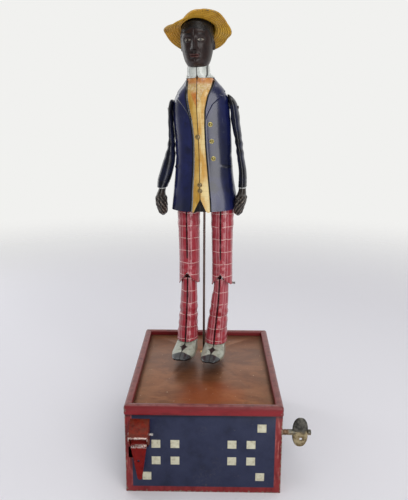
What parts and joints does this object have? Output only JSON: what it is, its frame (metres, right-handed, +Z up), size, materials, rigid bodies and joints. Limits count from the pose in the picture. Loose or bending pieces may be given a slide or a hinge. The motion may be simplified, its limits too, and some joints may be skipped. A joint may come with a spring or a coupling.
{
  "type": "clockwork dancing toy",
  "caption": "Tinplate clockwork toy: a jointed dancer in coat, checked trousers and straw hat on a rod above a box with winding key and stop lever.",
  "frame": {"origin": "centre of the box's flat underside, which stands on the floor", "axes": "+Z up along the dancer, -Y the toy's front with the stop lever, +X towards the winding key"},
  "size_m": [0.1033, 0.1265, 0.261],
  "materials": {
    "red_tin": "satin",
    "deck_tin": "gloss",
    "plain_tin": "satin",
    "brass": "satin",
    "steel": "satin",
    "dark_steel": "worn",
    "coat_tin": "gloss",
    "trouser_tin": "gloss",
    "hat_tin": "satin"
  },
  "bodies": {
    "base": {"base_case": "red_tin", "base_bottom": "plain_tin", "lid_frame": "red_tin", "deck_plate": "deck_tin", "deck_bush": "brass", "lever_hood": "red_tin", "lever_pin": "steel", "inner_plate": "brass", "outer_plate": "brass", "frame_pillars": "steel", "spring_post": "steel", "mainspring": "dark_steel", "rocker_stud": "brass", "rod_guide": "steel"},
    "great_wheel": {"great_wheel": "brass", "click_rivet": "brass", "click_spring": "steel"},
    "winding": {"winding_arbor": "steel", "winding_key": "dark_steel", "ratchet_wheel": "steel"},
    "click": {"click": "steel"},
    "second_wheel": {"second_arbor": "steel", "second_wheel": "brass"},
    "third_wheel": {"third_arbor": "steel", "third_wheel": "brass"},
    "crank": {"crank_arbor": "steel", "crank_disc": "brass", "crank_pin": "steel"},
    "rocker": {"rocker": "steel"},
    "rod": {"dancer_rod": "dark_steel", "rod_collars": "brass"},
    "dancer": {"rod_socket": "brass", "body_left": "coat_tin", "body_right": "coat_tin", "hat": "hat_tin", "hip_wire": "steel", "shoulder_wire": "steel"},
    "arm_left": {"arm_left_outer": "coat_tin", "arm_left_inner": "coat_tin"},
    "arm_right": {"arm_right_outer": "coat_tin", "arm_right_inner": "coat_tin"},
    "thigh_left": {"thigh_left_outer": "trouser_tin", "thigh_left_inner": "trouser_tin", "knee_pin_left": "steel"},
    "thigh_right": {"thigh_right_outer": "trouser_tin", "thigh_right_inner": "trouser_tin", "knee_pin_right": "steel"},
    "shin_left": {"shin_left_outer": "trouser_tin", "shin_left_inner": "trouser_tin"},
    "shin_right": {"shin_right_outer": "trouser_tin", "shin_right_inner": "trouser_tin"},
    "stop_lever": {"stop_lever": "red_tin", "brake_wire": "steel"}
  },
  "joints": [
    {"name": "great_wheel_spin", "type": "hinge", "parent": "base", "child": "great_wheel", "pos_m": [0, -0.036, 0.0248], "axis": [1, 0, 0], "continuous": true},
    {"name": "winding_turn", "type": "hinge", "parent": "great_wheel", "child": "winding", "pos_m": [0, -0.036, 0.0248], "axis": [1, 0, 0], "continuous": true},
    {"name": "click_lift", "type": "hinge", "parent": "great_wheel", "child": "click", "pos_m": [0, -0.025, 0.02144], "axis": [-1, 0, 0], "range_deg": [0, 14], "stiffness_Nm_per_rad": 0.00005},
    {"name": "second_wheel_spin", "type": "hinge", "parent": "base", "child": "second_wheel", "pos_m": [0, -0.01903, 0.0346], "axis": [1, 0, 0], "continuous": true},
    {"name": "third_wheel_spin", "type": "hinge", "parent": "base", "child": "third_wheel", "pos_m": [0, -0.01475, 0.02285], "axis": [1, 0, 0], "continuous": true},
    {"name": "crank_spin", "type": "hinge", "parent": "base", "child": "crank", "pos_m": [0, -0.003, 0.02713], "axis": [1, 0, 0], "continuous": true},
    {"name": "rod_bob", "type": "slide", "parent": "base", "child": "rod", "axis": [0, 0, 1], "range_m": [-0.0022, 0.0022]},
    {"name": "rocker_swing", "type": "hinge", "parent": "base", "child": "rocker", "pos_m": [0, 0.006, 0.02713], "axis": [1, 0, 0], "range_deg": [-7.1, 7.1]},
    {"name": "dancer_swivel", "type": "hinge", "parent": "rod", "child": "dancer", "pos_m": [-0.0012, 0.024, 0.15], "axis": [0, 0, 1], "range_deg": [-50, 70]},
    {"name": "shoulder_left", "type": "hinge", "parent": "dancer", "child": "arm_left", "pos_m": [-0.02338, 0.01949, 0.20333], "axis": [-0.9843, 0.1736, -0.0309], "range_deg": [-45, 90]},
    {"name": "shoulder_right", "type": "hinge", "parent": "dancer", "child": "arm_right", "pos_m": [0.01481, 0.01275, 0.20453], "axis": [-0.9843, 0.1736, -0.0309], "range_deg": [-45, 90]},
    {"name": "hip_left", "type": "hinge", "parent": "dancer", "child": "thigh_left", "pos_m": [-0.01311, 0.01747, 0.15], "axis": [-0.9848, 0.1736, 0], "range_deg": [-20, 20]},
    {"name": "hip_right", "type": "hinge", "parent": "dancer", "child": "thigh_right", "pos_m": [0.00776, 0.01379, 0.15], "axis": [-0.9848, 0.1736, 0], "range_deg": [-20, 20]},
    {"name": "knee_left", "type": "hinge", "parent": "thigh_left", "child": "shin_left", "pos_m": [-0.01311, 0.01747, 0.099], "axis": [0.9848, -0.1736, 0], "range_deg": [0, 70]},
    {"name": "knee_right", "type": "hinge", "parent": "thigh_right", "child": "shin_right", "pos_m": [0.00776, 0.01379, 0.099], "axis": [0.9848, -0.1736, 0], "range_deg": [0, 70]},
    {"name": "stop_lever_tilt", "type": "hinge", "parent": "base", "child": "stop_lever", "pos_m": [-0.0338, -0.06035, 0.0362], "axis": [1, 0, 0], "range_deg": [0, 8]}
  ],
  "couplings": [
    {"joint": "third_wheel_spin", "follows": "crank_spin", "ratio": -0.25},
    {"joint": "second_wheel_spin", "follows": "crank_spin", "ratio": 0.0625},
    {"joint": "great_wheel_spin", "follows": "crank_spin", "ratio": -0.010417},
    {"joint": "rocker_swing", "follows": "rod_bob", "rad_per_m": 55.542}
  ]
}
